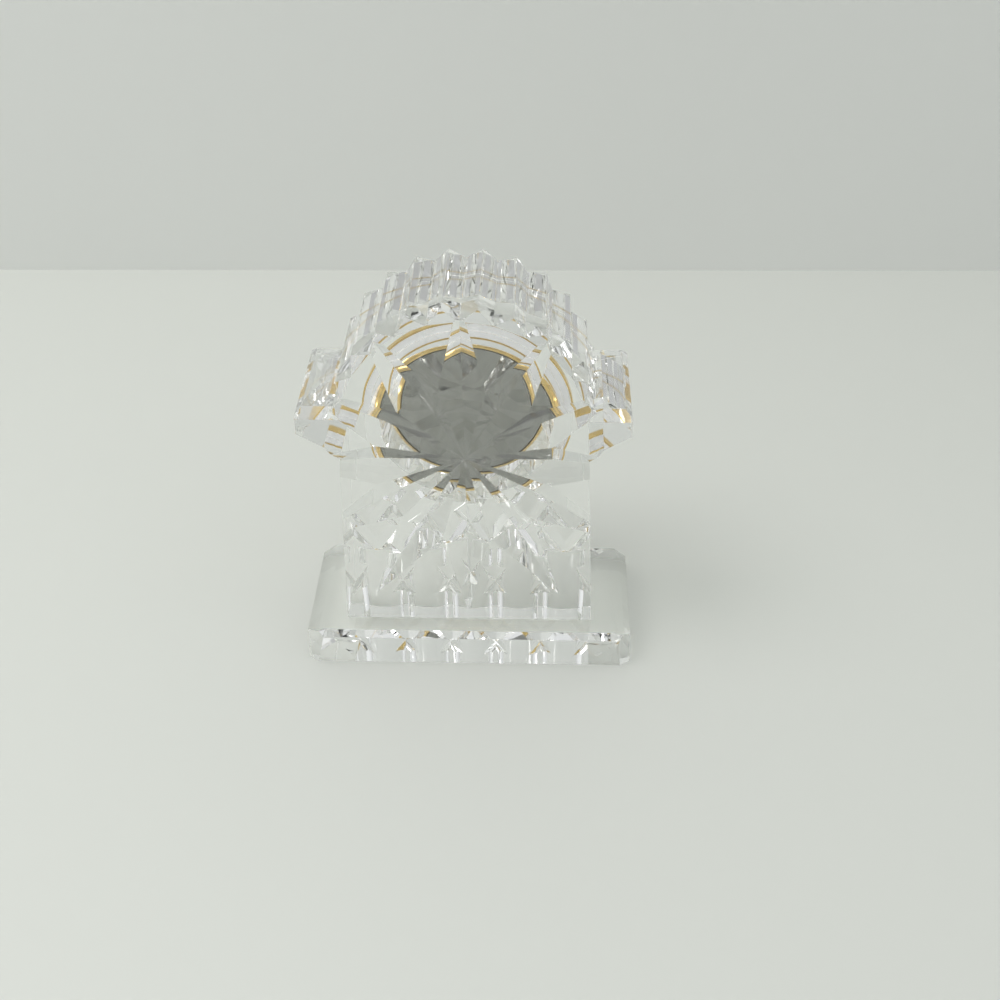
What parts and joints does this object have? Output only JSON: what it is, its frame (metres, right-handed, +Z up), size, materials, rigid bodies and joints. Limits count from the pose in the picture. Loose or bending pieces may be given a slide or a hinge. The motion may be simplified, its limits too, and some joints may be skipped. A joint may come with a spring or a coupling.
{
  "type": "desk clock",
  "caption": "Cut-crystal desk clock with a fluted arch, a star cut in its back and a push-in quartz insert, free-standing on its base.",
  "frame": {"origin": "centre of the base's underside", "axes": "+Z up, the dial faces -Y and the star-cut back faces +Y"},
  "size_m": [0.08, 0.0386, 0.0962],
  "materials": {
    "crystal": "polished, cut facets",
    "lens_glass": "polished",
    "gilt": "polished gilt",
    "back_steel": "satin",
    "clear_grip": "translucent soft plastic",
    "dial_paint": "satin paint, plain numbers",
    "hand_black": "satin black",
    "white_plastic": "moulded",
    "plate_brass": "grained",
    "wheel_brass": "polished",
    "screw_steel": "polished",
    "cell_steel": "satin",
    "spring_bronze": "plain",
    "board_green": "coated laminate",
    "epoxy_black": "smooth resin",
    "copper_wire": "enamelled wire",
    "soft_iron": "annealed sheet",
    "arbor_steel": "turned"
  },
  "bodies": {
    "crystal": {"crystal_body": "crystal"},
    "insert": {"case": "gilt", "bezel": "gilt", "lens": "lens_glass", "grip_ring": "clear_grip", "dial": "dial_paint", "dial_ring": "gilt", "case_back": "back_steel", "holder_ring": "white_plastic", "main_plate": "plate_brass", "train_bridge": "plate_brass", "bridge_screw_left": "screw_steel", "bridge_screw_right": "screw_steel", "bridge_screw_top": "screw_steel", "button_cell": "cell_steel", "cell_strap": "screw_steel", "contact_spring": "spring_bronze", "circuit_board": "board_green", "chip": "epoxy_black", "quartz_can": "screw_steel", "coil": "copper_wire", "coil_core": "soft_iron", "stator": "soft_iron"},
    "minute": {"cannon_pinion": "wheel_brass", "minute_hand": "hand_black"},
    "hour": {"hour_wheel": "wheel_brass", "hour_hand": "hand_black"},
    "minute_work": {"minute_wheel": "wheel_brass"},
    "setting": {"setting_arbor": "arbor_steel"},
    "seconds": {"seconds_wheel": "wheel_brass", "second_hand": "gilt"},
    "third": {"third_wheel": "wheel_brass"},
    "centre": {"centre_wheel": "wheel_brass"},
    "intermediate": {"intermediate_wheel": "wheel_brass"},
    "rotor_shaft": {"rotor": "arbor_steel"}
  },
  "joints": [
    {"name": "insert_slide", "type": "slide", "parent": "crystal", "child": "insert", "axis": [0, -1, 0], "range_m": [0, 0.012]},
    {"name": "minute_spin", "type": "hinge", "parent": "insert", "child": "minute", "pos_m": [0, -0.0175, 0.0592], "axis": [0, -1, 0], "continuous": true},
    {"name": "hour_spin", "type": "hinge", "parent": "insert", "child": "hour", "pos_m": [0, -0.0175, 0.0592], "axis": [0, -1, 0], "continuous": true},
    {"name": "minute_work_spin", "type": "hinge", "parent": "insert", "child": "minute_work", "pos_m": [-0.00152, -0.0175, 0.065], "axis": [0, -1, 0], "continuous": true},
    {"name": "setting_spin", "type": "hinge", "parent": "insert", "child": "setting", "pos_m": [-0.00298, -0.0175, 0.07057], "axis": [0, -1, 0], "continuous": true},
    {"name": "seconds_spin", "type": "hinge", "parent": "insert", "child": "seconds", "pos_m": [0, -0.0175, 0.0592], "axis": [0, -1, 0], "continuous": true},
    {"name": "third_spin", "type": "hinge", "parent": "insert", "child": "third", "pos_m": [0.0072, -0.0175, 0.0592], "axis": [0, -1, 0], "continuous": true},
    {"name": "centre_spin", "type": "hinge", "parent": "insert", "child": "centre", "pos_m": [0, -0.0175, 0.0592], "axis": [0, -1, 0], "continuous": true},
    {"name": "intermediate_spin", "type": "hinge", "parent": "insert", "child": "intermediate", "pos_m": [-0.0072, -0.0175, 0.0592], "axis": [0, -1, 0], "continuous": true},
    {"name": "rotor_spin", "type": "hinge", "parent": "insert", "child": "rotor_shaft", "pos_m": [-0.00561, -0.0175, 0.05325], "axis": [0, -1, 0], "continuous": true}
  ],
  "couplings": [
    {"joint": "hour_spin", "follows": "minute_spin", "ratio": 0.083333},
    {"joint": "minute_work_spin", "follows": "minute_spin", "ratio": -0.33333},
    {"joint": "setting_spin", "follows": "minute_spin", "ratio": 1.2},
    {"joint": "third_spin", "follows": "seconds_spin", "ratio": -0.13333},
    {"joint": "centre_spin", "follows": "seconds_spin", "ratio": 0.016667},
    {"joint": "intermediate_spin", "follows": "seconds_spin", "ratio": -5},
    {"joint": "rotor_spin", "follows": "seconds_spin", "ratio": 30}
  ]
}
